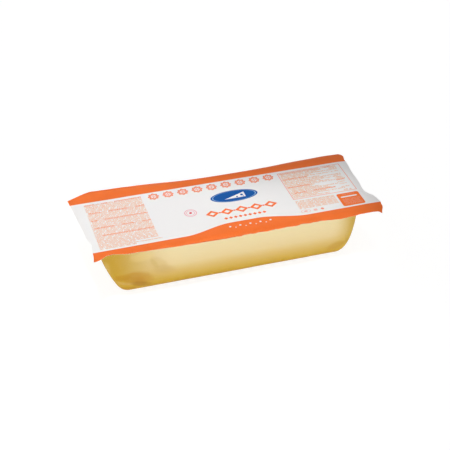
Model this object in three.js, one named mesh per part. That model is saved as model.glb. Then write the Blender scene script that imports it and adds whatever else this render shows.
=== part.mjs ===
// A smoked cheese loaf in its vacuum pack: a clear formed pocket that the loaf fills up to the rim,
// and a printed lid film sealed to that rim. Millimetres, +Z up. The long side runs along X, the
// front faces -Y, and the pack stands on Z = 0.
import * as THREE from 'three';

// The loaf, as wide as the pocket at its rim.
const LOAF_LENGTH = 241.4;
const LOAF_WIDTH = 87.8;
const RIM_CORNER_RADIUS = 28.5;
const BASE_CORNER_RADIUS = 6.8;

// Each end leans in all the way down. Each long side stays upright, then tucks under at the base.
const END_LEAN = 18.6;
const END_LEAN_POWER = 1.7;
const SIDE_TUCK = 11.7;
const SIDE_TUCK_POWER = 6.2;
const BASE_EDGE_ROUND = 4;

// The loaf lies a little off the middle of the film.
const LOAF_MIDDLE = new THREE.Vector2(-1.1, 0.6);

// The films, and the height of the whole pack, with the lid flat over the loaf.
const PACK_HEIGHT = 52.4;
const LID_THICKNESS = 0.5;
const SEAL_GAP = 0.3;
const RIM_THICKNESS = 0.6;

// The cut edge of both films laid flat, anticlockwise. It is cut unevenly: round at the back right,
// straight across the corner at the back left, in a tongue at the front left, out in a flap at the
// front right.
const CUT_EDGE = [
  [130.3, 38.3], [131.8, 44.8], [130.9, 48.3], [128.7, 50.3],
  [117.4, 50.2], [0, 51.5], [-84, 53.2], [-110.9, 53.9],
  [-116.5, 52.2], [-133.1, 44.6], [-132.3, 36.5],
  [-128.3, -16.6], [-126.2, -27.4], [-127.3, -38.4],
  [-129.2, -52.1], [-127.6, -52.3], [-123.1, -50.7], [-117.3, -46.6], [-111.5, -45.7],
  [-105.6, -48], [-98.4, -48.8], [-60, -50.4], [90, -50.5],
  [132.5, -50.5], [134.2, -37.8], [133.9, -26.1], [130.1, 8],
].map(([x, y]) => new THREE.Vector2(x, y));

// Past the loaf the film bends down, by this many degrees for each millimetre around these places.
// The line that it bends along has tighter corners than the loaf.
const BEND_CORNER_RADIUS = 8;
const BEND_WAVES = [
  { x: 21, y: 52, amount: 10.3, reach: 59.6 },
  { x: 100, y: 52, amount: 1.1, reach: 20 },
  { x: -2.3, y: -51, amount: 3.6, reach: 53.4 },
  { x: 91.3, y: -51, amount: 5.6, reach: 20 },
  { x: 127.4, y: -8.6, amount: 4.4, reach: 14.2 },
  { x: 135, y: 16, amount: 2.2, reach: 11.6 },
  { x: 133, y: -51, amount: 1.8, reach: 6 },
];
const LEAST_BEND = 0.05;

// Facets along each stretch of the outline, across the loose film, and down the pocket's wall.
const LONG_SIDE_STEPS = 26;
const END_STEPS = 8;
const CORNER_STEPS = 9;
const LEAST_CORNER_STEP = THREE.MathUtils.degToRad(2.5);
const FILM_STEPS = 5;
const WALL_STEPS = 9;
const BASE_EDGE_STEPS = 3;

const CHEESE_COLOUR = 0xe2c887;
const LID_COLOUR = 0xefefef;

// The directions that one rounded corner of the loaf faces: even steps, and the way to each point of
// the cut edge that lies out from that corner.
function cornerFacings(signX, signY, start) {
  const centreX = signX * (LOAF_LENGTH / 2 - RIM_CORNER_RADIUS);
  const centreY = signY * (LOAF_WIDTH / 2 - RIM_CORNER_RADIUS);
  const centre = new THREE.Vector2(centreX, centreY).add(LOAF_MIDDLE);
  const towardsCut = CUT_EDGE.map((point) => point.clone().sub(centre))
    .filter((away) => away.x * signX > 0 && away.y * signY > 0)
    .map((away) => away.angle());
  const facings = [start, start + Math.PI / 2, ...towardsCut];
  for (let step = 1; step < CORNER_STEPS; step += 1) {
    const facing = start + step / CORNER_STEPS * Math.PI / 2;
    if (facings.every((other) => Math.abs(other - facing) > LEAST_CORNER_STEP)) {
      facings.push(facing);
    }
  }
  return facings.sort((a, b) => a - b);
}

// A station of the outline says which way the outline faces there, and which point of the inner
// rectangle of arc centres it turns about, as shares of that rectangle's half sizes.
function outlineStations() {
  const cornerSigns = [[1, 1], [-1, 1], [-1, -1], [1, -1]];
  const stations = [];
  cornerSigns.forEach(([signX, signY], corner) => {
    const start = corner * Math.PI / 2;
    for (const facing of cornerFacings(signX, signY, start)) {
      stations.push({ shareX: signX, shareY: signY, facing });
    }
    const [nextX, nextY] = cornerSigns[(corner + 1) % cornerSigns.length];
    const sideSteps = signY === nextY ? LONG_SIDE_STEPS : END_STEPS;
    for (let step = 1; step < sideSteps; step += 1) {
      const shareX = THREE.MathUtils.lerp(signX, nextX, step / sideSteps);
      const shareY = THREE.MathUtils.lerp(signY, nextY, step / sideSteps);
      stations.push({ shareX, shareY, facing: start + Math.PI / 2 });
    }
  });
  return stations;
}

const STATIONS = outlineStations();

// The point of a rounded rectangle about the loaf's middle at a station.
function outlinePoint(station, halfLength, halfWidth, radius) {
  const x = station.shareX * (halfLength - radius) + radius * Math.cos(station.facing);
  const y = station.shareY * (halfWidth - radius) + radius * Math.sin(station.facing);
  return new THREE.Vector2(x, y).add(LOAF_MIDDLE);
}

// How many degrees the film bends for each millimetre at a place on the flat film.
function bendRate(place) {
  let rate = LEAST_BEND;
  for (const wave of BEND_WAVES) {
    const distance = Math.hypot(place.x - wave.x, place.y - wave.y);
    rate += wave.amount * Math.exp(-((distance / wave.reach) ** 2));
  }
  return rate;
}

// How far the film runs on from the loaf's edge, straight out, to where it is cut.
function filmReach(foot, outward) {
  const slack = 1e-9;
  let reach = Infinity;
  CUT_EDGE.forEach((point, index) => {
    const side = CUT_EDGE[(index + 1) % CUT_EDGE.length].clone().sub(point);
    const gap = point.clone().sub(foot);
    const closing = outward.cross(side);
    const shareOfSide = gap.cross(outward) / closing;
    const distance = gap.cross(side) / closing;
    if (shareOfSide > -slack && shareOfSide < 1 + slack && distance > 0) {
      reach = Math.min(reach, distance);
    }
  });
  return reach;
}

// Where a place on the flat film lies once the film is bent down past the loaf's edge.
function filmPoint(place) {
  const inset = new THREE.Vector2(LOAF_LENGTH / 2, LOAF_WIDTH / 2).subScalar(BEND_CORNER_RADIUS);
  const centre = place.clone().sub(LOAF_MIDDLE).clamp(inset.clone().negate(), inset).add(LOAF_MIDDLE);
  const outward = place.clone().sub(centre);
  const past = outward.length() - BEND_CORNER_RADIUS;
  if (past <= 0) {
    return new THREE.Vector3(place.x, place.y, PACK_HEIGHT);
  }
  const rate = THREE.MathUtils.degToRad(bendRate(place));
  const turn = rate * past;
  const bent = outward.setLength(BEND_CORNER_RADIUS + Math.sin(turn) / rate).add(centre);
  return new THREE.Vector3(bent.x, bent.y, PACK_HEIGHT - (1 - Math.cos(turn)) / rate);
}

// The bent film's upward normal, from two short steps on the flat film.
function filmNormal(place) {
  const step = 0.05;
  const here = filmPoint(place);
  const alongX = filmPoint(new THREE.Vector2(place.x + step, place.y)).sub(here);
  const alongY = filmPoint(new THREE.Vector2(place.x, place.y + step)).sub(here);
  return alongX.cross(alongY).normalize();
}

// A ring of the film, at a share of its reach past the loaf and a depth below its top face.
function filmRing(share, depth) {
  return STATIONS.map((station) => {
    const place = outlinePoint(station, LOAF_LENGTH / 2, LOAF_WIDTH / 2, RIM_CORNER_RADIUS);
    const outward = new THREE.Vector2(Math.cos(station.facing), Math.sin(station.facing));
    place.addScaledVector(outward, share * filmReach(place, outward));
    return filmPoint(place).addScaledVector(filmNormal(place), -depth);
  });
}

// Rings from the loaf's edge out to the cut edge, or back in again.
function filmRings(depth, inwards) {
  const rings = [];
  for (let step = 0; step <= FILM_STEPS; step += 1) {
    rings.push(filmRing(step / FILM_STEPS, depth));
  }
  return inwards ? rings.reverse() : rings;
}

// A ring of the pocket's wall at a height, drawn in further by the base edge's rounding.
function wallRing(height, wallTop, roundedIn) {
  const share = 1 - height / wallTop;
  const halfLength = LOAF_LENGTH / 2 - END_LEAN * share ** END_LEAN_POWER - roundedIn;
  const halfWidth = LOAF_WIDTH / 2 - SIDE_TUCK * share ** SIDE_TUCK_POWER - roundedIn;
  const radius = THREE.MathUtils.lerp(RIM_CORNER_RADIUS, BASE_CORNER_RADIUS, share);
  return STATIONS.map((station) => {
    const point = outlinePoint(station, halfLength, halfWidth, radius);
    return new THREE.Vector3(point.x, point.y, height);
  });
}

// The wall from just under the rim down to the flat base, with closer rings where it curves.
function wallRings(wallTop) {
  const rings = [];
  for (let step = 1; step <= WALL_STEPS; step += 1) {
    const share = Math.sin(step / WALL_STEPS * Math.PI / 2);
    rings.push(wallRing(THREE.MathUtils.lerp(wallTop, BASE_EDGE_ROUND, share), wallTop, 0));
  }
  for (let step = 1; step <= BASE_EDGE_STEPS; step += 1) {
    const angle = step / BASE_EDGE_STEPS * Math.PI / 2;
    const height = BASE_EDGE_ROUND * (1 - Math.sin(angle));
    const roundedIn = BASE_EDGE_ROUND * (1 - Math.cos(angle));
    rings.push(wallRing(height, wallTop, roundedIn));
  }
  return rings;
}

// A closed solid through rings that run from its top face out along the film to the cut edge, back
// in under it, and down to the lowest face. Both faces of the film are split into triangles alike.
function loft(rings) {
  const count = STATIONS.length;
  const lowest = (rings.length - 1) * count;
  const points = rings.flat();
  const topMiddle = points.push(new THREE.Vector3(LOAF_MIDDLE.x, LOAF_MIDDLE.y, rings[0][0].z)) - 1;
  const lowestMiddle = points.push(new THREE.Vector3(LOAF_MIDDLE.x, LOAF_MIDDLE.y, rings.at(-1)[0].z)) - 1;
  const triangles = [];
  for (let index = 0; index < count; index += 1) {
    const next = (index + 1) % count;
    triangles.push(topMiddle, index, next);
    triangles.push(lowestMiddle, lowest + next, lowest + index);
    for (let ring = 0; ring < rings.length - 1; ring += 1) {
      const here = ring * count + index;
      const beside = ring * count + next;
      const under = ring > FILM_STEPS && ring <= 2 * FILM_STEPS;
      triangles.push(here, here + count, under ? beside : beside + count);
      triangles.push(beside, under ? here + count : here, beside + count);
    }
  }
  const geometry = new THREE.BufferGeometry().setFromPoints(points);
  geometry.setIndex(triangles);
  geometry.computeVertexNormals();
  return geometry;
}

// The clear pocket with the loaf in it, and its thin sealing rim under the lid.
function cheesePocket() {
  const rimTop = LID_THICKNESS + SEAL_GAP;
  const rimUnder = rimTop + RIM_THICKNESS;
  const wall = wallRings(PACK_HEIGHT - rimUnder);
  const geometry = loft([...filmRings(rimTop, false), ...filmRings(rimUnder, true), ...wall]);
  const material = new THREE.MeshStandardMaterial({ color: CHEESE_COLOUR, roughness: 0.35 });
  const mesh = new THREE.Mesh(geometry, material);
  mesh.name = 'cheese_pocket';
  return mesh;
}

// The printed film over the loaf, out to the same cut edge as the rim.
function lidFilm() {
  const geometry = loft([...filmRings(0, false), ...filmRings(LID_THICKNESS, true)]);
  const material = new THREE.MeshStandardMaterial({ color: LID_COLOUR, roughness: 0.4 });
  const mesh = new THREE.Mesh(geometry, material);
  mesh.name = 'lid_film';
  return mesh;
}

const pack = new THREE.Group();
pack.add(cheesePocket(), lidFilm());

export default pack;
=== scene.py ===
# %% [markdown]
# # A smoked cheese loaf in its vacuum pack
#
# The real object is a one-kilo loaf of smoked cheese. A clear film is formed into a pocket, the
# loaf goes in, and a printed lid film is sealed on while the air is drawn out. So there are three
# things to make: the loaf, the clear pocket and the lid. The CAD model gives their size and place.
# This lesson loads it as a fixed frame and gives each piece its fine shape and its finish.

# %% Load the frame
import math

import bpy
import numpy as np
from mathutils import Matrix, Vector, noise


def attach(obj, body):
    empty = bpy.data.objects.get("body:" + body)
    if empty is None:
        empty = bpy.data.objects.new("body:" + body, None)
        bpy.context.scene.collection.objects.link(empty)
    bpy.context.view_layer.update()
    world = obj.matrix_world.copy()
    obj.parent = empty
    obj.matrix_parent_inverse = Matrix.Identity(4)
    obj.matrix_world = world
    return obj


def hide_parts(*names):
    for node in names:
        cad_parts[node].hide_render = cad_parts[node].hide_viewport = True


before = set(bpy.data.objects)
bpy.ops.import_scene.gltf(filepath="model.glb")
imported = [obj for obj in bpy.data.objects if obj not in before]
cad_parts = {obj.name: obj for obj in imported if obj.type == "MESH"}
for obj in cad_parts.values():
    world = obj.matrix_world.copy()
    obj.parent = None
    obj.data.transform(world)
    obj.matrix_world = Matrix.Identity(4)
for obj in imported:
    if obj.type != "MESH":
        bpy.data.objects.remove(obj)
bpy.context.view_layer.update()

MM = 0.001


print("CAD nodes:", sorted(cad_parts))

# %% [markdown]
# ## The camera
#
# A camera can be placed by eye, but the print on the lid gives more: its edges are straight and
# parallel, so their vanishing points fix the angle and the focal length. The pack is seen from the
# front, turned a little so that its right end is further away, from about a metre off.

# %% Camera at the photograph's angle
AZIMUTH = math.radians(-17.2)
ELEVATION = math.radians(34.66)
DISTANCE = 1.006
AIM = Vector((-9.56, -32.7, 52.4)) * MM
LENS_MM = 92.9
SENSOR_MM = 36.0

towards_camera = Vector((
    math.sin(AZIMUTH) * math.cos(ELEVATION),
    -math.cos(AZIMUTH) * math.cos(ELEVATION),
    math.sin(ELEVATION),
))
camera_data = bpy.data.cameras.new("photo_camera")
camera_data.lens = LENS_MM
camera_data.sensor_width = SENSOR_MM
camera = bpy.data.objects.new("photo_camera", camera_data)
camera.location = AIM + towards_camera * DISTANCE
camera.rotation_euler = (-towards_camera).to_track_quat("-Z", "Y").to_euler()
bpy.context.scene.collection.objects.link(camera)
bpy.context.scene.camera = camera
print("camera at", [round(v, 3) for v in camera.location])

# %% [markdown]
# ## Floor and light
#
# The pack was shot on a white sweep that is lit so brightly that it has no tone left. A light table
# gives the same look: the floor glows by itself, so hardly any shadow stays under the pack, and it
# lights the loaf's sides under the lid's overhang, with the help of two wide low lamps, in front and
# behind. Soft light comes from all around, a little more of it from the left. Two lamps from above
# shape it: a spot, and a soft box with a grid of slats before it, which lets out a straight beam and
# so gives a rectangle of light with soft edges. The edges fall across the lid, one after the other,
# and let it darken towards the back and the right end.

# %% The glowing floor
scene = bpy.context.scene
scene.view_settings.view_transform = "Standard"
scene.view_settings.look = "None"

FLOOR_HALF = 4.0
FLOOR_GREY = 0.2
FLOOR_ROUGHNESS = 0.9
FLOOR_GLOW = 0.88
floor_mesh = bpy.data.meshes.new("floor")
corners = [(x * FLOOR_HALF, y * FLOOR_HALF, 0.0) for x, y in ((-1, -1), (1, -1), (1, 1), (-1, 1))]
floor_mesh.from_pydata(corners, [], [(0, 1, 2, 3)])
floor = bpy.data.objects.new("floor", floor_mesh)
scene.collection.objects.link(floor)

floor_finish = bpy.data.materials.new("white_light_table")
floor_finish.use_nodes = True
floor_shader = floor_finish.node_tree.nodes["Principled BSDF"]
floor_shader.inputs["Base Color"].default_value = (FLOOR_GREY, FLOOR_GREY, FLOOR_GREY, 1)
floor_shader.inputs["Roughness"].default_value = FLOOR_ROUGHNESS
floor_shader.inputs["Emission Color"].default_value = (1, 1, 1, 1)
floor_shader.inputs["Emission Strength"].default_value = FLOOR_GLOW
floor_mesh.materials.append(floor_finish)
print("floor side in metres:", 2 * FLOOR_HALF)

# %% Light from all around
EVEN_LIGHT = 0.555
LIGHT_SLOPE = 0.2
world = bpy.data.worlds.new("even_light")
world.use_nodes = True
sky = world.node_tree.nodes["Background"]
sky.inputs["Color"].default_value = (1, 1, 1, 1)
direction = world.node_tree.nodes.new("ShaderNodeTexCoord")
split = world.node_tree.nodes.new("ShaderNodeSeparateXYZ")
slope = world.node_tree.nodes.new("ShaderNodeMath")
slope.operation = "MULTIPLY_ADD"
slope.inputs[1].default_value = -LIGHT_SLOPE
slope.inputs[2].default_value = EVEN_LIGHT
world.node_tree.links.new(direction.outputs["Generated"], split.inputs["Vector"])
world.node_tree.links.new(split.outputs["X"], slope.inputs[0])
world.node_tree.links.new(slope.outputs["Value"], sky.inputs["Strength"])
scene.world = world
print("light from the left: %.3f" % (EVEN_LIGHT + LIGHT_SLOPE))
print("light from the right: %.3f" % (EVEN_LIGHT - LIGHT_SLOPE))

# %% Lamps


def add_lamp(name, kind, place, aim, watts, **settings):
    """A lamp that looks from one place at another."""
    data = bpy.data.lights.new(name, kind)
    data.energy = watts
    for setting, value in settings.items():
        setattr(data, setting, value)
    lamp = bpy.data.objects.new(name, data)
    lamp.location = place
    lamp.rotation_euler = (Vector(aim) - Vector(place)).to_track_quat("-Z", "Y").to_euler()
    scene.collection.objects.link(lamp)
    return lamp


add_lamp(
    "top_spot", "SPOT", place=(-0.2, -0.3, 1.4), aim=(-0.316, -0.349, 0.05), watts=6.36,
    spot_size=math.radians(42.6), spot_blend=0.1, shadow_soft_size=0.019,
)
add_lamp(
    "top_soft_box", "AREA", place=(-0.238, -0.417, 1.402), aim=(-0.158, -0.118, 0.052), watts=0.2075,
    shape="RECTANGLE", size=0.5, size_y=0.39, spread=math.radians(3.06),
)
low_lamps = []
for name, side in (("front_lamp", -1), ("back_lamp", 1)):
    lamp = add_lamp(
        name, "AREA", place=(side * 0.35, side * 1.5, 0.42), aim=(0.0, side * 0.05, 0.03), watts=7.2,
        shape="RECTANGLE", size=1.0, size_y=0.5,
    )
    low_lamps.append(lamp)

# %% [markdown]
# ## How the films are cut and bent
#
# The pocket and the lid share one shape past the loaf, because they are sealed to each other and cut
# in one go. Cloth simulation could drape such a rim, but a film keeps the set it got in the sealing
# tool, so it is described instead. The cut edge is an outline of the few points it needs on the flat
# film. Past the loaf the film bends down along an arc, and how sharply is a sum of a few soft waves,
# each with a place, an amount and a reach. All sizes are in millimetres, as in the CAD model.

# %% The flat film's cut edge, its bends and the loaf's outline
LOAF_MIDDLE = np.array([-1.1, 0.6])
LOAF_HALF = np.array([241.4, 87.8]) / 2
RIM_RADIUS = 28.5
PACK_TOP = 52.4
# Anticlockwise: round at the back right, straight across at the back left, a tongue at the front
# left, a flap at the front right.
CUT_EDGE = np.array([
    [130.3, 38.3], [131.8, 44.8], [130.9, 48.3], [128.7, 50.3],
    [117.4, 50.2], [0.0, 51.5], [-84.0, 53.2], [-110.9, 53.9],
    [-116.5, 52.2], [-133.1, 44.6], [-132.3, 36.5],
    [-128.3, -16.6], [-126.2, -27.4], [-127.3, -38.4],
    [-129.2, -52.1], [-127.6, -52.3], [-123.1, -50.7], [-117.3, -46.6], [-111.5, -45.7],
    [-105.6, -48.0], [-98.4, -48.8], [-60.0, -50.4], [90.0, -50.5],
    [132.5, -50.5], [134.2, -37.8], [133.9, -26.1], [130.1, 8.0],
])
# Rows of place x, place y, bend in degrees for each millimetre, reach.
BEND_WAVES = np.array([
    [21.0, 52.0, 10.3, 59.6],
    [100.0, 52.0, 1.1, 20.0],
    [-2.3, -51.0, 3.6, 53.4],
    [91.3, -51.0, 5.6, 20.0],
    [127.4, -8.6, 4.4, 14.2],
    [135.0, 16.0, 2.2, 11.6],
    [133.0, -51.0, 1.8, 6.0],
])
LEAST_BEND = 0.05
BEND_RADIUS = 8.0
NEARLY_ZERO = 1e-9


def bend_rate(places):
    """How sharply the film bends at flat places, in degrees for each millimetre."""
    gaps = np.linalg.norm(places[:, None, :] - BEND_WAVES[None, :, :2], axis=2)
    return LEAST_BEND + (BEND_WAVES[:, 2] * np.exp(-((gaps / BEND_WAVES[:, 3]) ** 2))).sum(axis=1)


def out_from_loaf(places, radius):
    """For an outline with this corner radius: arc centres, ways out, and distances past it."""
    core = LOAF_HALF - radius
    centres = np.clip(places - LOAF_MIDDLE, -core, core) + LOAF_MIDDLE
    outward = places - centres
    length = np.linalg.norm(outward, axis=1)
    return centres, outward / np.maximum(length, NEARLY_ZERO)[:, None], length - radius


print("points in the cut edge:", len(CUT_EDGE), "bend waves:", len(BEND_WAVES))

# %% Bending the film


def bent_film(places):
    """Where flat places lie once the film is bent past the loaf's edge."""
    centres, outward, past = out_from_loaf(places, BEND_RADIUS)
    rate = np.radians(bend_rate(places))
    turn = rate * np.maximum(past, 0.0)
    reach = BEND_RADIUS + np.where(past > 0, np.sin(turn) / rate, past)
    drop = (1 - np.cos(turn)) / rate
    return np.column_stack([centres + outward * reach[:, None], PACK_TOP - drop])


def film_normals(places):
    """Upward normals of the bent film, from two short steps on the flat film."""
    step = 0.05
    here = bent_film(places)
    along_x = bent_film(places + [step, 0]) - here
    along_y = bent_film(places + [0, step]) - here
    normals = np.cross(along_x, along_y)
    return normals / np.linalg.norm(normals, axis=1)[:, None]


cut_heights = bent_film(CUT_EDGE)[:, 2]
print("cut edge height in mm: %.1f to %.1f" % (cut_heights.min(), cut_heights.max()))

# %% Cutting the film


def cross(a, b):
    """The flat cross product."""
    return a[..., 0] * b[..., 1] - a[..., 1] * b[..., 0]


def reach_to(edge, feet, outward):
    """How far it is from places on the loaf's outline, straight out, to a closed edge."""
    slack = 1e-6
    sides = (np.roll(edge, -1, axis=0) - edge)[None]
    gaps = edge[None] - feet[:, None]
    outward = outward[:, None]
    closing = cross(outward, sides)
    closing = np.where(np.abs(closing) < slack, slack, closing)
    share_of_side = cross(gaps, outward) / closing
    distance = cross(gaps, sides) / closing
    hit = (share_of_side > -slack) & (share_of_side < 1 + slack) & (distance > 0)
    return np.where(hit, distance, np.inf).min(axis=1)


middle_front = np.array([[0.0, LOAF_MIDDLE[1] - LOAF_HALF[1]]])
straight_out = np.array([[0.0, -1.0]])
print("film past the loaf's front: %.1f mm" % reach_to(CUT_EDGE, middle_front, straight_out)[0])

# %% [markdown]
# ## The outline, station by station
#
# The loaf and the pocket are rounded rectangles at every height, so both are lofted: the same
# number of stations runs round each ring, and faces join ring to ring. A station stores which way
# the outline faces and which arc centre it belongs to, so any ring can be drawn from three sizes.

# %% Stations and rings
LONG_STEPS = 96
END_STEPS = 24
CORNER_STEPS = 56


def outline_stations():
    """Rows of arc centre share x, share y and facing angle, anticlockwise from the right."""
    signs = np.array([[1, 1], [-1, 1], [-1, -1], [1, -1]], float)
    rows = []
    for corner in range(4):
        here, after = signs[corner], signs[(corner + 1) % 4]
        start = corner * math.pi / 2
        for step in range(CORNER_STEPS + 1):
            rows.append([*here, start + step / CORNER_STEPS * math.pi / 2])
        count = LONG_STEPS if here[1] == after[1] else END_STEPS
        for step in range(1, count):
            rows.append([*(here + (after - here) * step / count), start + math.pi / 2])
    return np.array(rows)


STATIONS = outline_stations()
FACING = np.column_stack([np.cos(STATIONS[:, 2]), np.sin(STATIONS[:, 2])])


def outline_ring(half_sizes, radius):
    """The stations of a rounded rectangle with these half sizes and corner radius."""
    return LOAF_MIDDLE + STATIONS[:, :2] * (np.array(half_sizes) - radius) + FACING * radius


print("stations round the outline:", len(STATIONS))

# %% From rings to a mesh
SHARP_ANGLE = math.radians(60)
NOISE_STEP = (17.3, 5.9, 11.1)


def capped(rings, top_height, base_height):
    """Points and faces of a closed solid through rings, with a fan over each end."""
    count = len(STATIONS)
    points = np.concatenate([*rings, [[*LOAF_MIDDLE, top_height], [*LOAF_MIDDLE, base_height]]])
    top, base = len(points) - 2, len(points) - 1
    lowest = (len(rings) - 1) * count
    faces = []
    for i in range(count):
        j = (i + 1) % count
        faces.append((top, i, j))
        faces.append((base, lowest + j, lowest + i))
        for low in range(0, lowest, count):
            faces.append((low + i, low + count + i, low + count + j, low + j))
    return points, faces


def add_piece(name, points, faces):
    """A smooth mesh object from points in millimetres."""
    mesh = bpy.data.meshes.new(name)
    mesh.from_pydata((np.asarray(points) * MM).tolist(), [], faces)
    mesh.validate()
    mesh.shade_smooth()
    mesh.set_sharp_from_angle(angle=SHARP_ANGLE)
    piece = bpy.data.objects.new(name, mesh)
    scene.collection.objects.link(piece)
    print(name, "has", len(mesh.polygons), "faces")
    return piece


def waver(points, size, seed):
    """Smooth noise from -1 to 1 at each point, with bumps of about the given size."""
    shift = Vector([seed * step for step in NOISE_STEP])
    flat = np.zeros((len(points), 3))
    flat[:, :points.shape[1]] = points / size
    return np.array([noise.noise(Vector(p) + shift) for p in flat])


edge_noise = waver(CUT_EDGE, size=10.0, seed=1)
print("noise at the cut edge: %.2f to %.2f" % (edge_noise.min(), edge_noise.max()))

# %% [markdown]
# ## The pleats
#
# Where flat film is drawn round a corner it has too much length, and folds into fine pleats. Each
# one is a low ridge that climbs the wall, and the soft cheese has followed it. A texture could paint
# them, but a ridge in the mesh also catches the light and shows from the side. A seeded draw sets
# the place, lean, width and height of each.

# %% Pleats at the corners
PLEATS_PER_CORNER = 5
PLEAT_SEED = 7
# From and to: angles and widths in quarter turns, leans in quarter turns for each millimetre.
PLEAT_ANGLES = (0.1, 0.9)
PLEAT_LEANS = (-0.006, 0.006)
PLEAT_WIDTHS = (0.014, 0.03)
PLEAT_RISES = (0.12, 0.32)
PLEAT_LOW_ENDS = (2, 14)
PLEAT_HIGH_ENDS = (24, 46)


def corner_pleats():
    """Pleats as rows of corner, angle in that corner, lean, width, rise, low end, high end."""
    draw = np.random.default_rng(PLEAT_SEED)
    spans = (PLEAT_ANGLES, PLEAT_LEANS, PLEAT_WIDTHS, PLEAT_RISES, PLEAT_LOW_ENDS, PLEAT_HIGH_ENDS)
    rows = []
    for corner in range(4):
        for _ in range(PLEATS_PER_CORNER):
            rows.append([corner, *(draw.uniform(low, high) for low, high in spans)])
    return np.array(rows)


PLEATS = corner_pleats()


def pleat_lift(ring):
    """How far the pleats lift the points of one ring."""
    turn = STATIONS[:, 2] / (math.pi / 2)
    height = ring[:, 2]
    lift = np.zeros(len(ring))
    for corner, angle, lean, width, rise, low, high in PLEATS:
        across = turn - corner - angle - lean * (height - low)
        middle, half = (low + high) / 2, (high - low) / 2
        fade = np.clip(1 - ((height - middle) / half) ** 2, 0, 1)
        lift += rise * fade * np.exp(-((across / width) ** 2))
    return lift


print("pleats:", len(PLEATS))

# %% [markdown]
# ## The loaf
#
# The vacuum pulls the film tight, so the loaf has the pocket's form: upright long sides that tuck
# under at the base, and ends that lean in. Cheese is never dead flat. A low, broad unevenness is
# pushed in along the outline's facing, with noise sampled at each point so that it has no seam.

# %% The wall's rings
BASE_RADIUS = 6.8
END_LEAN, END_LEAN_POWER = 18.6, 1.7
SIDE_TUCK, SIDE_TUCK_POWER = 11.7, 6.2
BASE_ROUND = 4.0
WALL_TOP = 51.0
WALL_RINGS = 56
BASE_RINGS = 8


def wall_heights():
    """Heights of the wall's rings and how far the base edge's rounding draws each one in."""
    angle = np.linspace(0, math.pi / 2, WALL_RINGS)
    wall = WALL_TOP + (BASE_ROUND - WALL_TOP) * np.sin(angle)
    turn = np.linspace(0, math.pi / 2, BASE_RINGS + 1)[1:]
    heights = np.concatenate([wall, BASE_ROUND * (1 - np.sin(turn))])
    drawn_in = np.concatenate([np.zeros(WALL_RINGS), BASE_ROUND * (1 - np.cos(turn))])
    return heights, drawn_in


def wall_ring(height, drawn_in):
    """One ring of the pocket's wall."""
    share = min(max(1 - height / WALL_TOP, 0.0), 1.0)
    lean = END_LEAN * share ** END_LEAN_POWER
    tuck = SIDE_TUCK * share ** SIDE_TUCK_POWER
    radius = RIM_RADIUS + (BASE_RADIUS - RIM_RADIUS) * share
    ring = outline_ring(LOAF_HALF - [lean, tuck] - drawn_in, radius)
    return np.column_stack([ring, np.full(len(ring), height)])


heights, drawn_in = wall_heights()
print("wall rings:", len(heights))

# %% The cheese
CHEESE_INSET = 0.14
CHEESE_TOP = 51.8
TOP_ROUND = 1.2
TOP_RINGS = 5
# The unevenness starts this far inside the CAD wall, so that the loaf stays in its box.
RELIEF_INSET = 0.12
UNEVEN_BROAD, BROAD_SIZE = 0.3, 34.0
UNEVEN_FINE, FINE_SIZE = 0.08, 6.0


def uneven_ring(height, drawn_in):
    """A ring of the wall with the loaf's unevenness and the pleats in it."""
    ring = wall_ring(height, drawn_in)
    push = UNEVEN_BROAD * waver(ring, BROAD_SIZE, seed=1)
    push += UNEVEN_FINE * waver(ring, FINE_SIZE, seed=2)
    ring[:, :2] += FACING * (push + pleat_lift(ring) - RELIEF_INSET)[:, None]
    return ring


def cheese_ring(height, drawn_in):
    """A ring of the loaf, just inside the film."""
    return uneven_ring(height, drawn_in + CHEESE_INSET)


top_rings = []
for angle in np.linspace(math.pi / 2, 0, TOP_RINGS):
    drop = TOP_ROUND * (1 - math.sin(angle))
    top_rings.append(cheese_ring(CHEESE_TOP - drop, TOP_ROUND * (1 - math.cos(angle))))
side_rings = [cheese_ring(max(h, CHEESE_INSET), d) for h, d in zip(heights[1:], drawn_in[1:])]
cheese_loaf = add_piece("cheese_loaf", *capped(top_rings + side_rings, CHEESE_TOP, CHEESE_INSET))

# %% [markdown]
# ## The clear pocket
#
# The pocket is one film: a rim under the lid, a wall and a base. A single sheet of faces would do for
# a picture. It is modelled as a thin closed shell, an outside and an inside an eighth of a millimetre
# apart, so that it is a real solid when it is exported.

# %% The pocket's shell
FILM_THICKNESS = 0.12
LID_THICKNESS = 0.25
SEAL_GAP = 0.05
RIM_RINGS = 10
# The rim ends this far short of the lid's cut, so that it doesn't peep out.
RIM_SHY = 1.0


def rim_rings(depth):
    """Rings of the rim from the cut edge in to the loaf, at a depth below the lid's top."""
    feet = outline_ring(LOAF_HALF, RIM_RADIUS)
    reach = reach_to(CUT_EDGE, feet, FACING) - RIM_SHY
    rings = []
    for share in np.linspace(1, 0, RIM_RINGS):
        places = feet + FACING * (reach * share)[:, None]
        rings.append(bent_film(places) - film_normals(places) * depth)
    return rings


def pocket_wall(inset):
    """Rings of the film's wall and base edge, drawn in by the film's thickness for its inside."""
    rings = [uneven_ring(h, d + inset) for h, d in zip(heights[1:], drawn_in[1:])]
    rings[-1][:, 2] += inset
    return rings


rim_top = LID_THICKNESS + SEAL_GAP
outside = rim_rings(rim_top + FILM_THICKNESS) + pocket_wall(0.0)
inside = rim_rings(rim_top) + pocket_wall(FILM_THICKNESS)
clear_film = add_piece("clear_film", *capped(inside[::-1] + outside, FILM_THICKNESS, 0.0))

# %% [markdown]
# ## What the low lamps reach
#
# A studio would flag the low lamps, so that they reach the loaf under the lid and not the lid's
# drooping rim. Sheets of black card could be modelled. Light linking does the same without them: a
# lamp lights only the objects of a collection.

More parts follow.
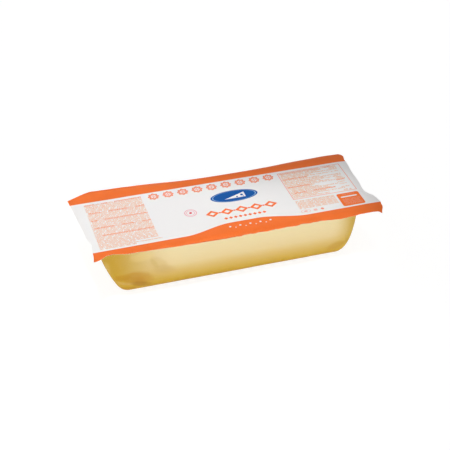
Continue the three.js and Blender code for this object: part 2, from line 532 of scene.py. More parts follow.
# %% Low lamps on the loaf only
lit_from_low = bpy.data.collections.new("lit_from_low")
for piece in (cheese_loaf, clear_film):
    lit_from_low.objects.link(piece)
for lamp in low_lamps:
    lamp.light_linking.receiver_collection = lit_from_low

# %% [markdown]
# ## The lid film
#
# The lid is bent by the same rules as the rim. A sheet trimmed by a boolean would leave slivers along
# the cut, so a grid of even faces is drawn out to the cut instead. The knife has left the front edge
# ragged: small ripples are added there. Over the loaf the vacuum has drawn the film on to the cheese,
# which leaves shallow dips. Every point also stores its flat place as an attribute: the print is
# drawn on that flat sheet, so it bends with the film as real print does.

# %% The lid's flat grid
LID_COLUMNS, LID_ROWS = 250, 100
# Corners of the grid before it is cut: front left, front right, back right, back left.
GRID_CORNERS = np.array([[-129.2, -52.1], [132.5, -50.5], [130.9, 48.3], [-133.1, 52.0]])
EDGE_RIPPLE, RIPPLE_SIZE = 0.9, 9.0
EDGE_NICKS, NICK_SIZE = 0.55, 4.0
# The ripples are full at the front, weak elsewhere, and calm round one place on the front edge.
RAGGED_BY, LEAST_RAGGED = -40.0, 0.25
CALM_X, CALM_REACH, CALM_SHARE = -42.0, 26.0, 0.85


def lid_grid():
    """Flat places of the lid's grid, out to the ragged cut."""
    s, t = np.meshgrid(np.linspace(0, 1, LID_COLUMNS), np.linspace(0, 1, LID_ROWS))
    s, t = s.ravel()[:, None], t.ravel()[:, None]
    a, b, c, d = GRID_CORNERS
    places = (1 - s) * (1 - t) * a + s * (1 - t) * b + s * t * c + (1 - s) * t * d
    _, outward, past = out_from_loaf(places, RIM_RADIUS)
    loose = past > 0
    outward, past = outward[loose], past[loose]
    feet = places[loose] - outward * past[:, None]
    share = past / reach_to(GRID_CORNERS, feet, outward)
    cut = reach_to(CUT_EDGE, feet, outward)
    edge = feet + outward * cut[:, None]
    ripple = EDGE_RIPPLE * waver(edge, RIPPLE_SIZE, seed=3)
    ripple += EDGE_NICKS * waver(edge, NICK_SIZE, seed=5)
    ragged = np.clip(edge[:, 1] / RAGGED_BY, LEAST_RAGGED, 1)
    ragged *= 1 - CALM_SHARE * np.exp(-(((edge[:, 0] - CALM_X) / CALM_REACH) ** 2))
    places[loose] = feet + outward * (share * (cut + ripple * ragged))[:, None]
    return places


flat_places = lid_grid()
print("flat film in mm:", flat_places.min(axis=0).round(1), flat_places.max(axis=0).round(1))

# %% The lid's shell
DIP_DEPTH = 0.22
DIP_SIZE = 28.0
DIP_FADE = 12.0


def shell_of_grid(columns, rows):
    """Faces of two grids, one over the other, closed by a strip round their edge."""
    under = columns * rows
    faces = []
    for row in range(rows - 1):
        for column in range(columns - 1):
            a = row * columns + column
            b, c, d = a + 1, a + columns + 1, a + columns
            faces.append((a, b, c, d))
            faces.append((under + a, under + d, under + c, under + b))
    front = list(range(columns))
    right = [row * columns + columns - 1 for row in range(1, rows)]
    back = [(rows - 1) * columns + column for column in range(columns - 2, -1, -1)]
    left = [row * columns for row in range(rows - 2, 0, -1)]
    loop = front + right + back + left
    for here, after in zip(loop, loop[1:] + loop[:1]):
        faces.append((here, under + here, under + after, after))
    return faces


_, _, past_loaf = out_from_loaf(flat_places, RIM_RADIUS)
over_loaf = np.clip(-past_loaf / DIP_FADE, 0, 1)
dips = DIP_DEPTH * over_loaf * (waver(flat_places, DIP_SIZE, seed=4) - 1) / 2
lid_top = bent_film(flat_places)
lid_top[:, 2] += dips
lid_under = lid_top - film_normals(flat_places) * LID_THICKNESS
printed_lid = add_piece(
    "printed_lid", np.concatenate([lid_top, lid_under]), shell_of_grid(LID_COLUMNS, LID_ROWS)
)
# The flat place's third value tells the sides apart: 1 above, 0 below.
film_place = printed_lid.data.attributes.new("film_place", "FLOAT_VECTOR", "POINT")
upper = np.column_stack([flat_places, np.ones(len(flat_places))])
lower = np.column_stack([flat_places, np.zeros(len(flat_places))])
film_place.data.foreach_set("vector", np.concatenate([upper, lower]).astype(np.float32).ravel())

# %% [markdown]
# ## A few words for shader nodes
#
# The finishes are drawn with nodes, so that they stay sharp at any distance. Wiring nodes by hand
# is long-winded. This small class gives each common step one short name: a sum, a soft edge, a
# colour laid over another.

# %% Shader shorthand


class Finish:
    """A material with a Principled shader, and short names for the nodes that feed it."""

    def __init__(self, name):
        self.material = bpy.data.materials.new(name)
        self.material.use_nodes = True
        self.tree = self.material.node_tree
        self.shader = self.tree.nodes["Principled BSDF"]
        self.tone = None

    def feed(self, socket, value):
        """Wire an output to a socket, or set the socket's own value."""
        if isinstance(value, bpy.types.NodeSocket):
            self.tree.links.new(value, socket)
        else:
            socket.default_value = value

    def fill(self, node, **inputs):
        """Feed a node's inputs by name, with _ for a blank in the name."""
        for name, value in inputs.items():
            self.feed(node.inputs[name.replace("_", " ")], value)
        return node

    def node(self, kind, **inputs):
        """A new node of this kind, with inputs by name."""
        return self.fill(self.tree.nodes.new(kind), **inputs)

    def calc(self, operation, a, b=0.0, c=0.0, clamp=False):
        """One step of arithmetic."""
        made = self.tree.nodes.new("ShaderNodeMath")
        made.operation = operation
        made.use_clamp = clamp
        for socket, value in zip(made.inputs, (a, b, c)):
            self.feed(socket, value)
        return made.outputs[0]

    def product(self, *values):
        """All the values multiplied."""
        result = values[0]
        for value in values[1:]:
            result = self.calc("MULTIPLY", result, value)
        return result

    def lay(self, share, colour):
        """Lay one more colour over the tone so far, by a share from 0 to 1."""
        made = self.tree.nodes.new("ShaderNodeMix")
        made.data_type = "RGBA"
        self.feed(made.inputs["Factor"], share)
        self.feed(made.inputs["A"], self.tone)
        self.feed(made.inputs["B"], colour)
        self.tone = made.outputs["Result"]

    def ramp(self, value, low, high):
        """0 below low and 1 above high, with a soft rise between; low may be the larger."""
        made = self.node("ShaderNodeMapRange", Value=value, From_Min=low, From_Max=high)
        made.interpolation_type = "SMOOTHSTEP"
        return made.outputs["Result"]

    def mottle(self, vector, scale, detail=3.0):
        """Noise from 0 to 1."""
        made = self.node("ShaderNodeTexNoise", Vector=vector, Scale=scale, Detail=detail)
        return made.outputs["Fac"]

    def chance(self, x, y, seed):
        """One even draw from 0 to 1 for each pair of whole numbers."""
        spot = self.node("ShaderNodeCombineXYZ", X=x, Y=y, Z=seed)
        return self.node("ShaderNodeTexWhiteNoise", Vector=spot.outputs["Vector"]).outputs["Value"]

    def bump(self, height, strength, distance):
        """Low relief in the shading alone."""
        made = self.node("ShaderNodeBump", Height=height, Strength=strength, Distance=distance)
        self.fill(self.shader, Normal=made.outputs["Normal"])


def srgb(red, green, blue):
    """A colour given as on screen, 0 to 255, as the linear values that shaders use."""
    def linear(level):
        share = level / 255
        return share / 12.92 if share <= 0.04045 else ((share + 0.055) / 1.055) ** 2.4
    return (linear(red), linear(green), linear(blue), 1.0)


print("middle grey on screen is %.3f in a shader" % srgb(128, 128, 128)[0])

# %% [markdown]
# ## The cheese
#
# Smoke colours a loaf from the outside: the long sides stay cream where they were sheltered, and
# the base edge and the ends turn golden, with brown patches where the loaf lay. Part of that gold at
# the base edge and the ends is painted shade, darker where the surface turns away from the light.
# The middle of each end is left a little paler. Such tones could be painted on an image. Here the
# colour is a ramp over the height, deepened towards the ends, broken up with soft noise and laid over
# with smears, of which the pale ones are painted highlights. A little subsurface scattering lets
# light sink in, as it does in real cheese.

# %% Cheese: cream sides and a golden foot, partly painted shade
# The object's places are in metres, so a scale of noise is in bumps for each metre.
CLOUD_SCALE = 22.0
DRIFT = 4.0
# Rows of height, as a share of the wall's, and tone. The gold low down is partly smoked rind and
# partly painted shade towards the foot.
SMOKE_AND_SHADE_TONES = [
    (0.06, srgb(166, 122, 14)),
    (0.16, srgb(188, 147, 28)),
    (0.235, srgb(198, 161, 65)),
    (0.28, srgb(201, 166, 77)),
    (0.40, srgb(212, 180, 106)),
    (0.55, srgb(225, 202, 147)),
    (0.70, srgb(230, 210, 161)),
    (0.90, srgb(233, 216, 169)),
]
cheese = Finish("smoked_cheese")
where = cheese.node("ShaderNodeTexCoord").outputs["Object"]
along, across, height = cheese.node("ShaderNodeSeparateXYZ", Vector=where).outputs
cloud = cheese.mottle(where, CLOUD_SCALE)
drift = cheese.calc("MULTIPLY_ADD", cloud, DRIFT * MM, -DRIFT / 2 * MM)
level = cheese.calc("DIVIDE", cheese.calc("ADD", height, drift), WALL_TOP * MM, clamp=True)
smoke_and_shade_ramp = cheese.node("ShaderNodeValToRGB", Fac=level)
stops = smoke_and_shade_ramp.color_ramp.elements
stops[0].position, stops[0].color = SMOKE_AND_SHADE_TONES[0]
stops[1].position, stops[1].color = SMOKE_AND_SHADE_TONES[-1]
for position, colour in SMOKE_AND_SHADE_TONES[1:-1]:
    stops.new(position).color = colour
cheese.tone = smoke_and_shade_ramp.outputs["Color"]
print("side tones:", len(SMOKE_AND_SHADE_TONES))

# %% Cheese: golden ends, partly painted shade at the corners
END_SHARE = 0.95
END_WANDER = 2.0
# Rows of tone, the x where it starts and the x where it is full. The gold is partly painted shade
# where the loaf's corners turn away from the light.
GOLD_AND_SHADE_AT_ENDS = [
    (srgb(190, 150, 36), -55, -114),
    (srgb(202, 164, 58), 86, 112),
]


def fade(value, start, full):
    """A rise from 0 at one place to 1 at another, both in millimetres."""
    return cheese.ramp(value, start * MM, full * MM)


wander = cheese.calc("MULTIPLY_ADD", drift, END_WANDER, along)
for gold_and_shade, start_x, full_x in GOLD_AND_SHADE_AT_ENDS:
    cheese.lay(cheese.product(fade(wander, start_x, full_x), END_SHARE), gold_and_shade)
print("golden ends:", len(GOLD_AND_SHADE_AT_ENDS))

# %% Cheese: paler end faces
END_PALE = srgb(226, 198, 126)
PALE_SCALE = 34.0
PALE_LOW, PALE_HIGH = 0.44, 0.66
PALE_SHARE = 0.7
MIDDLE_SHARE = 0.65
end_face = fade(cheese.calc("ABSOLUTE", along), start=111, full=120)
mottled = cheese.ramp(cheese.mottle(where, PALE_SCALE), PALE_LOW, PALE_HIGH)
cheese.lay(cheese.product(mottled, end_face, PALE_SHARE), END_PALE)
mid_width = fade(cheese.calc("ABSOLUTE", across), start=24, full=6)
mid_height = fade(height, start=6, full=26)
cheese.lay(cheese.product(mid_width, mid_height, end_face, MIDDLE_SHARE), END_PALE)
print("cheese nodes so far:", len(cheese.tree.nodes))

# %% Cheese: smears on the front, the pale ones painted highlights
STREAK_SCALE, STREAK_DEPTH = 75.0, 1.6
# A smear ends and is full at these squared shares of its half sizes.
SMEAR_END, SMEAR_FULL = 1.6, 0.1
# Rows of x, height, half length, half width, angle, share and tone, in millimetres and degrees.
# The pale smears, high at x -87 and low at x -101, are painted highlights of the film's sheen; the
# others are darker streaks.
SMEARS_AND_SHEEN = [
    (-87, 42, 10, 5, 0, 0.4, srgb(232, 208, 140)),
    (-71, 28, 13, 6.5, -58, 0.3, srgb(202, 166, 94)),
    (-76, 33, 6, 2, -60, 0.3, srgb(196, 164, 86)),
    (-66, 24, 10, 5, -20, 0.35, srgb(194, 158, 90)),
    (-103, 22.5, 9, 3.5, 22, 0.75, srgb(186, 136, 32)),
    (-88, 20, 11, 6.5, -28, 0.65, srgb(186, 136, 46)),
    (-94, 18, 10, 5, -15, 0.5, srgb(178, 126, 40)),
    (-101, 7, 9, 4, 0, 0.6, srgb(176, 126, 16)),
    (-101, 15, 8, 2.2, -8, 0.45, srgb(200, 164, 98)),
    (-88, 12, 10, 3.5, -20, 0.7, srgb(164, 118, 38)),
    (-93, 25.5, 6, 1.6, -12, 0.3, srgb(190, 140, 50)),
    (92, 15, 8, 5, 20, 0.45, srgb(186, 140, 52)),
]
streak_noise = cheese.mottle(where, STREAK_SCALE)
streak = cheese.calc("MULTIPLY_ADD", streak_noise, STREAK_DEPTH, -STREAK_DEPTH / 2)
on_front = fade(across, start=0, full=-10)


def squared_share(distance, half_size):
    """The square of a distance as a share of a half size in millimetres."""
    return cheese.calc("POWER", cheese.product(distance, 1 / (half_size * MM)), 2.0)


def smear(x, z, half_length, half_width, angle, share):
    """A soft, slanted smear on the loaf's front, with an edge broken up by noise."""
    turn_x, turn_z = math.cos(math.radians(angle)), math.sin(math.radians(angle))
    dx = cheese.calc("SUBTRACT", along, x * MM)
    dz = cheese.calc("SUBTRACT", height, z * MM)
    far = cheese.calc("ADD", cheese.product(dx, turn_x), cheese.product(dz, turn_z))
    wide = cheese.calc("SUBTRACT", cheese.product(dz, turn_x), cheese.product(dx, turn_z))
    reach = cheese.calc("ADD", squared_share(far, half_length), squared_share(wide, half_width))
    reach = cheese.calc("ADD", reach, streak)
    return cheese.product(cheese.ramp(reach, SMEAR_END, SMEAR_FULL), on_front, share)


for *shape, tone in SMEARS_AND_SHEEN:
    cheese.lay(smear(*shape), tone)
print("smears:", len(SMEARS_AND_SHEEN))

# %% Cheese: brown patches at the other feet
FOOT_BROWN = srgb(174, 124, 24)
PATCH_SCALE = 48.0
PATCH_LOW, PATCH_HIGH = 0.52, 0.68
PATCH_SHARE = 0.3
patch = cheese.ramp(cheese.mottle(where, PATCH_SCALE, detail=2.0), PATCH_LOW, PATCH_HIGH)
near_end = fade(cheese.calc("ABSOLUTE", along), start=62, full=98)
near_foot = fade(height, start=32, full=20)
at_back = fade(across, start=-10, full=10)
at_right = fade(along, start=0, full=20)
elsewhere = cheese.calc("MAXIMUM", at_back, at_right)
cheese.lay(cheese.product(patch, near_end, near_foot, elsewhere, PATCH_SHARE), FOOT_BROWN)
print("cheese nodes so far:", len(cheese.tree.nodes))

# %% Cheese: surface
GRAIN_SCALE = 260.0
cheese.fill(
    cheese.shader, Base_Color=cheese.tone, Roughness=0.42, Specular_IOR_Level=0.02,
    Subsurface_Weight=0.15, Subsurface_Radius=(1.0, 0.6, 0.25), Subsurface_Scale=3 * MM,
)
cheese.bump(cheese.mottle(where, GRAIN_SCALE), strength=0.12, distance=0.6 * MM)
cheese_loaf.data.materials.append(cheese.material)
print("cheese nodes:", len(cheese.tree.nodes))

# %% [markdown]
# ## The clear film
#
# Clear film hardly shows by itself: what is seen of it is the light that its surface throws back,
# little head on and more at a slant. A glass shader would trace that through both faces of the thin
# shell, which is slow and noisy. A mix of nothing and gloss looks the same. The share comes from the
# facing angle to the fifth power, the usual short form of Fresnel's law, which treats both sides of
# the film alike.

# %% Clear film finish
FILM_GLOSS_HEAD_ON = 0.006
FILM_GLOSS_SLANT = 0.015
FRESNEL_POWER = 5.0
clear = Finish("clear_pocket_film")
clear.fill(clear.shader, Base_Color=(0.95, 0.94, 0.9, 1), Roughness=0.22)
facing = clear.node("ShaderNodeLayerWeight", Blend=0.5).outputs["Facing"]
slant = clear.calc("POWER", facing, FRESNEL_POWER)
glance = clear.calc("MULTIPLY_ADD", slant, FILM_GLOSS_SLANT, FILM_GLOSS_HEAD_ON)
see_through = clear.node("ShaderNodeBsdfTransparent")
film_mix = clear.node("ShaderNodeMixShader", Fac=glance)
clear.feed(film_mix.inputs[1], see_through.outputs["BSDF"])
clear.feed(film_mix.inputs[2], clear.shader.outputs["BSDF"])
clear.fill(clear.tree.nodes["Material Output"], Surface=film_mix.outputs["Shader"])
clear_film.data.materials.append(clear.material)
print("film nodes:", len(clear.tree.nodes))

# %% [markdown]
# ## The lid's print: fields of colour
#
# The print is laid down as a printer would: white film first, then the orange bands along the front
# and back, then the small motifs. An image would be the usual way, but it blurs close up. Here each
# shape is a mask from 0 to 1, made from the flat place on the film, and each mask lays its ink over
# what is there.

# %% Places, inks and masks
WHITE = srgb(245, 243, 242)
ORANGE = srgb(249, 119, 50)
BLUE = srgb(8, 86, 166)
TINT = srgb(243, 172, 118)
PINK = srgb(240, 150, 165)
RED = srgb(225, 20, 60)
EDGE_SOFT = 0.25
lid = Finish("printed_lid_film")
place = lid.node("ShaderNodeAttribute")
place.attribute_name = "film_place"
film_x, film_y, top_side = lid.node("ShaderNodeSeparateXYZ", Vector=place.outputs["Vector"]).outputs


def below(value, limit):
    """1 where a value in millimetres is below a limit, with an edge as soft as ink on film."""
    gap = lid.calc("SUBTRACT", value, limit)
    return lid.calc("MULTIPLY_ADD", gap, -1 / EDGE_SOFT, 0.5, clamp=True)


def inside_band(value, low, high):
    """1 between low and high."""
    off_middle = lid.calc("ABSOLUTE", lid.calc("SUBTRACT", value, (low + high) / 2))
    return below(off_middle, (high - low) / 2)


def inside_box(low_x, high_x, low_y, high_y):
    """1 inside a box with square corners."""
    return lid.product(inside_band(film_x, low_x, high_x), inside_band(film_y, low_y, high_y))


def inside_any(boxes):
    """1 inside any of some boxes, each given as low x, high x, low y and high y."""
    area = 0.0
    for box in boxes:
        area = lid.calc("MAXIMUM", area, inside_box(*box))
    return area


def length(x, y):
    """The length of a step of x and y."""
    return lid.calc("SQRT", lid.calc("ADD", lid.product(x, x), lid.product(y, y)))


def radius_from(centre_x, centre_y, stretch=1.0):
    """Distance from a centre, with y stretched for an oval."""
    dy = lid.calc("SUBTRACT", film_y, centre_y)
    return length(lid.calc("SUBTRACT", film_x, centre_x), lid.product(dy, stretch))


print("an ink's edge is", EDGE_SOFT, "mm soft")

# %% White film and orange bands
BACK_BAND, BACK_SLOPE = 36.15, -0.0035
FRONT_BAND, FRONT_SLOPE = -39.0, 0.007
SWELL_HEIGHT = 8.6
SWELL_LEFT_FOOT, SWELL_LEFT_TOP = -46.0, -4.0
SWELL_RIGHT_TOP, SWELL_RIGHT_FOOT = 20.0, 66.0
left_rise = lid.ramp(film_x, SWELL_LEFT_FOOT, SWELL_LEFT_TOP)
right_rise = lid.ramp(film_x, SWELL_RIGHT_FOOT, SWELL_RIGHT_TOP)
front_line = lid.calc("MULTIPLY_ADD", film_x, FRONT_SLOPE, FRONT_BAND)
front_line = lid.calc("MULTIPLY_ADD", lid.product(left_rise, right_rise), SWELL_HEIGHT, front_line)
back_line = lid.calc("MULTIPLY_ADD", film_x, BACK_SLOPE, BACK_BAND)
lid.tone = WHITE
lid.lay(lid.calc("MAXIMUM", below(film_y, front_line), below(back_line, film_y)), ORANGE)
print("bands from", BACK_BAND, "back and", FRONT_BAND, "front")

# %% [markdown]
# ## The lid's print: small print
#
# From a step away, small print is a tint of fine rows. It needs no letters to look so, and rows of
# text objects would be thousands of curves. The flat place is cut into rows, the rows into cells, and
# each cell into specks: an upright stroke, then specks that are inked or not by chance, then a gap.
# Longer steps along the row leave the gaps between words, and in a few rows most words are heavier,
# as in headings. Every row is shifted by chance, so that its gaps don't line up with the next row's.

# %% Rows of small print
ROW_PITCH = 1.7
ROW_SHIFT = 40.0
CELL = 0.8
SPECKS_UP, SPECKS_ALONG = 4, 4
SPECK_INK, HEADING_INK = 0.65, 0.95
WORD = 6.0
WORD_LEAST, WORD_SPREAD = 0.78, 0.2
HEAVY_WORDS = 0.7
# Whole numbers are told apart by half a step.
HALF_STEP = 0.5


def speck_of(value, count):
    """Which of some equal steps of each whole number a value lies in, and the step's own number."""
    fine = lid.calc("FLOOR", lid.product(value, count))
    whole = lid.calc("FLOOR", value)
    return lid.calc("MULTIPLY_ADD", whole, -count, fine), fine


def small_print(high_y, seed, headings=()):
    """Rows of small print from high_y down: a mask, a mask of its headings, and each row's number."""
    rows = lid.calc("DIVIDE", lid.calc("SUBTRACT", high_y, film_y), ROW_PITCH)
    row = lid.calc("FLOOR", rows)
    shift = lid.product(lid.chance(row, 0.0, seed + 2), ROW_SHIFT)
    along_row = lid.calc("ADD", film_x, shift)
    words = lid.calc("DIVIDE", along_row, WORD)
    word = lid.calc("FLOOR", words)
    heading = 0.0
    for number in headings:
        heading = lid.calc("MAXIMUM", heading, lid.calc("COMPARE", row, number, HALF_STEP))
    heavy = lid.calc("LESS_THAN", lid.chance(word, row, seed + 3), HEAVY_WORDS)
    heading = lid.product(heading, heavy)
    up, fine_up = speck_of(rows, SPECKS_UP)
    along_cell, fine_along = speck_of(lid.calc("DIVIDE", along_row, CELL), SPECKS_ALONG)
    tall = lid.calc("GREATER_THAN", lid.calc("ADD", up, heading), HALF_STEP)
    inked = lid.calc("MULTIPLY_ADD", heading, HEADING_INK - SPECK_INK, SPECK_INK)
    speck = lid.calc("LESS_THAN", lid.chance(fine_along, fine_up, seed), inked)
    upright = lid.calc("LESS_THAN", along_cell, HALF_STEP)
    before_gap = lid.calc("LESS_THAN", along_cell, SPECKS_ALONG - 1 - HALF_STEP)
    letter = lid.product(lid.calc("MAXIMUM", upright, speck), before_gap)
    word_length = lid.calc("MULTIPLY_ADD", lid.chance(word, row, seed + 1), WORD_SPREAD, WORD_LEAST)
    in_word = lid.calc("LESS_THAN", lid.calc("FRACT", words), word_length)
    mask = lid.product(tall, letter, lid.calc("MAXIMUM", in_word, heading))
    return mask, lid.product(mask, heading), row


print("rows are", ROW_PITCH, "mm apart and letters", CELL, "mm")

# %% The left block
HEADING_SHARE = 0.5
LEFT_HEADINGS = (0, 8, 15, 22, 29)
LEFT_LOW_Y, LEFT_STEP_Y, LEFT_HIGH_Y = -37.5, -32.0, 32.9
# The block, its lower left part and its last row.
LEFT_BOXES = [
    (-120.6, -68.8, LEFT_STEP_Y, LEFT_HIGH_Y),
    (-120.6, -89.0, LEFT_LOW_Y, LEFT_STEP_Y),
    (-89.0, -66.0, -35.1, -33.4),
]


def lay_rows(rows, headings, area):
    """Ink rows of small print inside an area, and deepen their headings."""
    lid.lay(lid.product(rows, area), TINT)
    lid.lay(lid.product(headings, area, HEADING_SHARE), ORANGE)


left_rows, left_headings, _ = small_print(LEFT_HIGH_Y, seed=1, headings=LEFT_HEADINGS)
lay_rows(left_rows, left_headings, inside_any(LEFT_BOXES))
print("rows in the left block:", round((LEFT_HIGH_Y - LEFT_LOW_Y) / ROW_PITCH))

# %% The framed table on the right
FRAME_LOW_X, FRAME_HIGH_X = 60.8, 121.8
FRAME_LOW_Y, FRAME_HIGH_Y = -13.0, 32.6
FRAME_LINE = 0.5
FRAME_PAD = 1.2
TABLE_HEADINGS = (0, 6, 14, 20)
ROW_END_LEAST, ROW_END_SPREAD = 84.0, 36.0
FIGURE_LOW_X, FIGURE_HIGH_X = 110.0, 117.5
NO_FIGURE = 0.5


def inside_frame(pad):
    """1 inside the table's frame, a pad in from its outside."""
    return inside_box(FRAME_LOW_X + pad, FRAME_HIGH_X - pad, FRAME_LOW_Y + pad, FRAME_HIGH_Y - pad)


off_hole = lid.calc("SUBTRACT", 1.0, inside_frame(FRAME_LINE))
lid.lay(lid.product(inside_frame(0.0), off_hole), ORANGE)
table_top = FRAME_HIGH_Y - FRAME_PAD
table_rows, table_headings, table_row = small_print(table_top, seed=11, headings=TABLE_HEADINGS)
row_end = lid.calc("MULTIPLY_ADD", lid.chance(table_row, 0.0, seed=21), ROW_END_SPREAD, ROW_END_LEAST)
short_row = lid.calc("LESS_THAN", film_x, row_end)
has_figure = lid.calc("GREATER_THAN", lid.chance(table_row, 0.0, seed=22), NO_FIGURE)
figure = lid.product(inside_band(film_x, FIGURE_LOW_X, FIGURE_HIGH_X), has_figure)
table_area = lid.product(inside_frame(FRAME_PAD), lid.calc("MAXIMUM", short_row, figure))
lay_rows(table_rows, table_headings, table_area)
print("table rows:", round((FRAME_HIGH_Y - FRAME_LOW_Y) / ROW_PITCH))

# %% The notes below the table
NOTES_LOW_Y, NOTES_HIGH_Y = -28.9, -15.5
note_rows, _, _ = small_print(NOTES_HIGH_Y, seed=31)
lid.lay(lid.product(note_rows, inside_box(61.0, 98.0, NOTES_LOW_Y, NOTES_HIGH_Y)), TINT)
print("rows of notes:", round((NOTES_HIGH_Y - NOTES_LOW_Y) / ROW_PITCH))

# %% [markdown]
# ## The lid's print: motifs
#
# The motifs are plain shapes in the pack's inks. Thin meshes could be laid on the film, but masks bend
# with it. A row of scalloped rosettes is drawn once, from the distance to the nearest of the places in
# the row. A rosette's edge is a circle whose radius swings with the angle. Lozenges come from the sum
# of two distances, and rounded boxes from the distance to a smaller box.

# %% Scalloped rosettes
ROSETTES = 9
ROSETTE_FIRST, ROSETTE_PITCH = -57.7, 13.58
ROSETTE_Y = 29.2
ROSETTE_RADIUS = 4.65
SCALLOPS, SCALLOP_DEPTH = 8, 0.5
ROSETTE_LINE = 0.8
FILL_FROM, FILL_SHARE = 2.8, 0.6
RING_LOW, RING_HIGH = 2.5, 3.1
HEART_RADIUS, HEART_SPOKES = 1.8, 4


def repeat_x(first, pitch, count):
    """X from the nearest of some places in a row."""
    steps = lid.calc("DIVIDE", lid.calc("SUBTRACT", film_x, first), pitch)
    nearest = lid.calc("MINIMUM", lid.calc("MAXIMUM", lid.calc("ROUND", steps), 0.0), count - 1)
    return lid.product(lid.calc("SUBTRACT", steps, nearest), pitch)


petal_x = repeat_x(ROSETTE_FIRST, ROSETTE_PITCH, ROSETTES)
petal_y = lid.calc("SUBTRACT", film_y, ROSETTE_Y)
petal_radius = length(petal_x, petal_y)
petal_angle = lid.calc("ARCTAN2", petal_y, petal_x)


def swing(times):
    """A wave from -1 to 1 that comes round a rosette this many times."""
    return lid.calc("COSINE", lid.product(petal_angle, times))


scallop = lid.calc("MULTIPLY_ADD", swing(SCALLOPS), SCALLOP_DEPTH, ROSETTE_RADIUS)
rosette_disc = below(petal_radius, scallop)
rosette_line = below(lid.calc("SUBTRACT", scallop, ROSETTE_LINE), petal_radius)
rosette_ring = inside_band(petal_radius, RING_LOW, RING_HIGH)
spokes = lid.calc("GREATER_THAN", swing(HEART_SPOKES), 0.0)
rosette_heart = lid.product(below(petal_radius, HEART_RADIUS), spokes)
lid.lay(lid.product(rosette_disc, below(FILL_FROM, petal_radius), FILL_SHARE), ORANGE)
lid.lay(lid.product(rosette_disc, rosette_line), ORANGE)
lid.lay(lid.calc("MAXIMUM", rosette_ring, rosette_heart), ORANGE)
print("rosettes:", ROSETTES)

# %% Blue oval with a wedge
PALE_BLUE = srgb(150, 190, 226)
OVAL_X, OVAL_Y = 12.0, 9.4
OVAL_HALF_LENGTH, OVAL_HALF_WIDTH = 22.0, 9.0
OVAL_LINE_LOW, OVAL_LINE_HIGH = 19.6, 20.4
WEDGE_TIP_X, WEDGE_LENGTH = 2.0, 20.0
WEDGE_FOOT_Y, WEDGE_RISE = 5.6, 0.4
# Rows of x, y and radius.
WEDGE_HOLES = [(19.0, 9.2, 1.3), (14.2, 7.3, 0.9), (19.8, 6.7, 0.6)]
oval = radius_from(OVAL_X, OVAL_Y, OVAL_HALF_LENGTH / OVAL_HALF_WIDTH)
lid.lay(below(oval, OVAL_HALF_LENGTH), BLUE)
lid.lay(inside_band(oval, OVAL_LINE_LOW, OVAL_LINE_HIGH), PALE_BLUE)
slope_line = lid.calc("MULTIPLY_ADD", film_x, WEDGE_RISE, WEDGE_FOOT_Y - WEDGE_TIP_X * WEDGE_RISE)
wedge = lid.product(
    inside_band(film_x, WEDGE_TIP_X, WEDGE_TIP_X + WEDGE_LENGTH),
    below(WEDGE_FOOT_Y, film_y),
    below(film_y, slope_line),
)
lid.lay(wedge, WHITE)
for hole_x, hole_y, hole_radius in WEDGE_HOLES:
    lid.lay(below(radius_from(hole_x, hole_y), hole_radius), BLUE)
print("oval in mm:", 2 * OVAL_HALF_LENGTH, "x", 2 * OVAL_HALF_WIDTH)

# %% Lozenges and dots
LOZENGES = 5
LOZENGE_FIRST, LOZENGE_PITCH, LOZENGE_Y = -15.0, 13.5, -13.0
BAND_DOTS = 5
BAND_DOT_FIRST, BAND_DOT_PITCH = -6.0, 9.2


def lozenge_row(first, pitch, count, middle_y, half_x, half_y, hollow=0.0):
    """A row of lozenges, with a hole of this share of their size."""
    x = repeat_x(first, pitch, count)
    y = lid.calc("SUBTRACT", film_y, middle_y)
    span = lid.calc("MULTIPLY_ADD", lid.calc("ABSOLUTE", y), half_x / half_y, lid.calc("ABSOLUTE", x))
    return lid.product(below(span, half_x), below(half_x * hollow, span))


def dot_row(first, pitch, count, middle_y, radius):
    """A row of round dots."""
    y = lid.calc("SUBTRACT", film_y, middle_y)
    return below(length(repeat_x(first, pitch, count), y), radius)


lozenges = lozenge_row(
    LOZENGE_FIRST, LOZENGE_PITCH, LOZENGES, LOZENGE_Y, half_x=6.2, half_y=5.0, hollow=0.45
)
lid.lay(lozenges, ORANGE)
link_first = LOZENGE_FIRST + LOZENGE_PITCH / 2
lid.lay(dot_row(link_first, LOZENGE_PITCH, LOZENGES - 1, LOZENGE_Y, radius=1.0), ORANGE)
lid.lay(lozenge_row(first=-5.5, pitch=4.4, count=9, middle_y=-23.2, half_x=1.9, half_y=1.9), ORANGE)
lid.lay(dot_row(BAND_DOT_FIRST, BAND_DOT_PITCH, BAND_DOTS, middle_y=-36.4, radius=1.0), WHITE)
small_first = BAND_DOT_FIRST + BAND_DOT_PITCH / 2
lid.lay(dot_row(small_first, BAND_DOT_PITCH, BAND_DOTS - 1, middle_y=-38.6, radius=0.6), WHITE)
print("lozenges:", LOZENGES, "dots in the band:", 2 * BAND_DOTS - 1)

# %% Ring seal
SEAL_X, SEAL_Y = -33.0, -6.0
# Rows of inner and outer radius.
SEAL_RINGS = [(4.9, 5.5), (3.4, 3.8)]
SEAL_DOT = 1.3
seal_radius = radius_from(SEAL_X, SEAL_Y)
for inner, outer in SEAL_RINGS:
    lid.lay(inside_band(seal_radius, inner, outer), PINK)
lid.lay(below(seal_radius, SEAL_DOT), RED)
print("lid nodes so far:", len(lid.tree.nodes))

# %% Orange box
BOX = (100.0, 121.0, -36.2, -16.0)
BOX_BAR = (102.6, 118.2, -22.6, -20.8)
BOX_ROWS_TOP = -17.0
BOX_LINES = [(105.0, 117.0, -18.9, BOX_ROWS_TOP), (102.6, 119.4, -34.4, -24.5)]
FAINT = 0.22


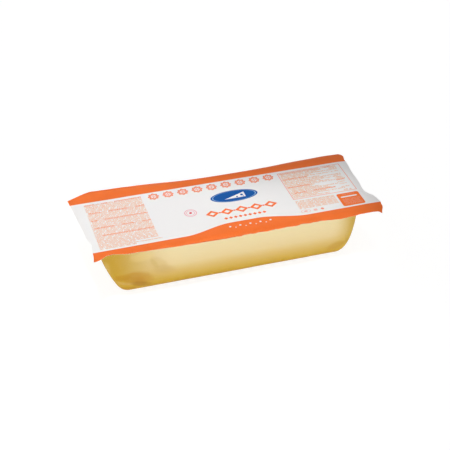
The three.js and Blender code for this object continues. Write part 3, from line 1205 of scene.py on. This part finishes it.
def rounded_box(low_x, high_x, low_y, high_y, radius):
    """1 inside a box with round corners."""
    reach = []
    for value, low, high in ((film_x, low_x, high_x), (film_y, low_y, high_y)):
        off_middle = lid.calc("ABSOLUTE", lid.calc("SUBTRACT", value, (low + high) / 2))
        past_core = lid.calc("SUBTRACT", off_middle, (high - low) / 2 - radius)
        reach.append(lid.calc("MAXIMUM", past_core, 0.0))
    return below(length(*reach), radius)


lid.lay(rounded_box(*BOX, radius=2.0), ORANGE)
lid.lay(rounded_box(*BOX_BAR, radius=0.9), WHITE)
box_rows, _, _ = small_print(BOX_ROWS_TOP, seed=41)
lid.lay(lid.product(box_rows, inside_any(BOX_LINES), FAINT), WHITE)
print("lid nodes so far:", len(lid.tree.nodes))

# %% Small marks
MARK_OVAL_X, MARK_OVAL_Y, MARK_OVAL_STRETCH = 65.0, -33.2, 1.7
MARK_SQUARE = (72.4, 75.6, -35.0, -31.8)
OVAL_SHARE, SQUARE_SHARE, LOZENGE_SHARE = 0.6, 0.5, 0.8
mark_oval = radius_from(MARK_OVAL_X, MARK_OVAL_Y, MARK_OVAL_STRETCH)
lid.lay(lid.product(inside_band(mark_oval, low=3.9, high=4.4), OVAL_SHARE), ORANGE)
lid.lay(lid.product(below(mark_oval, limit=1.8), OVAL_SHARE), ORANGE)
lid.lay(lid.product(rounded_box(*MARK_SQUARE, radius=0.5), SQUARE_SHARE), ORANGE)
mark_lozenge = lozenge_row(first=80.5, pitch=1.0, count=1, middle_y=-33.4, half_x=1.9, half_y=1.9)
lid.lay(lid.product(mark_lozenge, LOZENGE_SHARE), ORANGE)
print("lid nodes:", len(lid.tree.nodes))

# %% [markdown]
# ## The lid's surface
#
# The film is printed on its upper side only, so from below it is plain white. It is a satin film: the
# lamps give it a broad soft sheen, no sharp spot. A very low bump keeps that sheen from being dead
# even. Ripples in the mesh could do the same, but would need far more faces.

# %% Lid finish
# The film's flat places are in millimetres, so this scale gives bumps of about 11 mm.
SHEEN_SCALE = 0.09
upper_print = lid.tone
lid.tone = WHITE
lid.lay(lid.calc("GREATER_THAN", top_side, HALF_STEP), upper_print)
lid.fill(lid.shader, Base_Color=lid.tone, Roughness=0.4, Specular_IOR_Level=0.12)
sheen_noise = lid.mottle(place.outputs["Vector"], SHEEN_SCALE, detail=2.0)
lid.bump(sheen_noise, strength=0.15, distance=0.6 * MM)
printed_lid.data.materials.append(lid.material)
print("lid finished with", len(lid.tree.nodes), "nodes")

# %% [markdown]
# ## Pieces, bodies and slots
#
# The frame has one body, because nothing on the pack moves. Each piece rides on it and says which CAD
# solid it stands for.

# %% Ride and replace
for piece, node, slot in (
    (cheese_loaf, "cheese_pocket", "cheese"),
    (clear_film, "cheese_pocket", "clear_film"),
    (printed_lid, "lid_film", "printed_film"),
):
    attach(piece, "root")
    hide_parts(node)
    print(piece.name, "stands for", node)
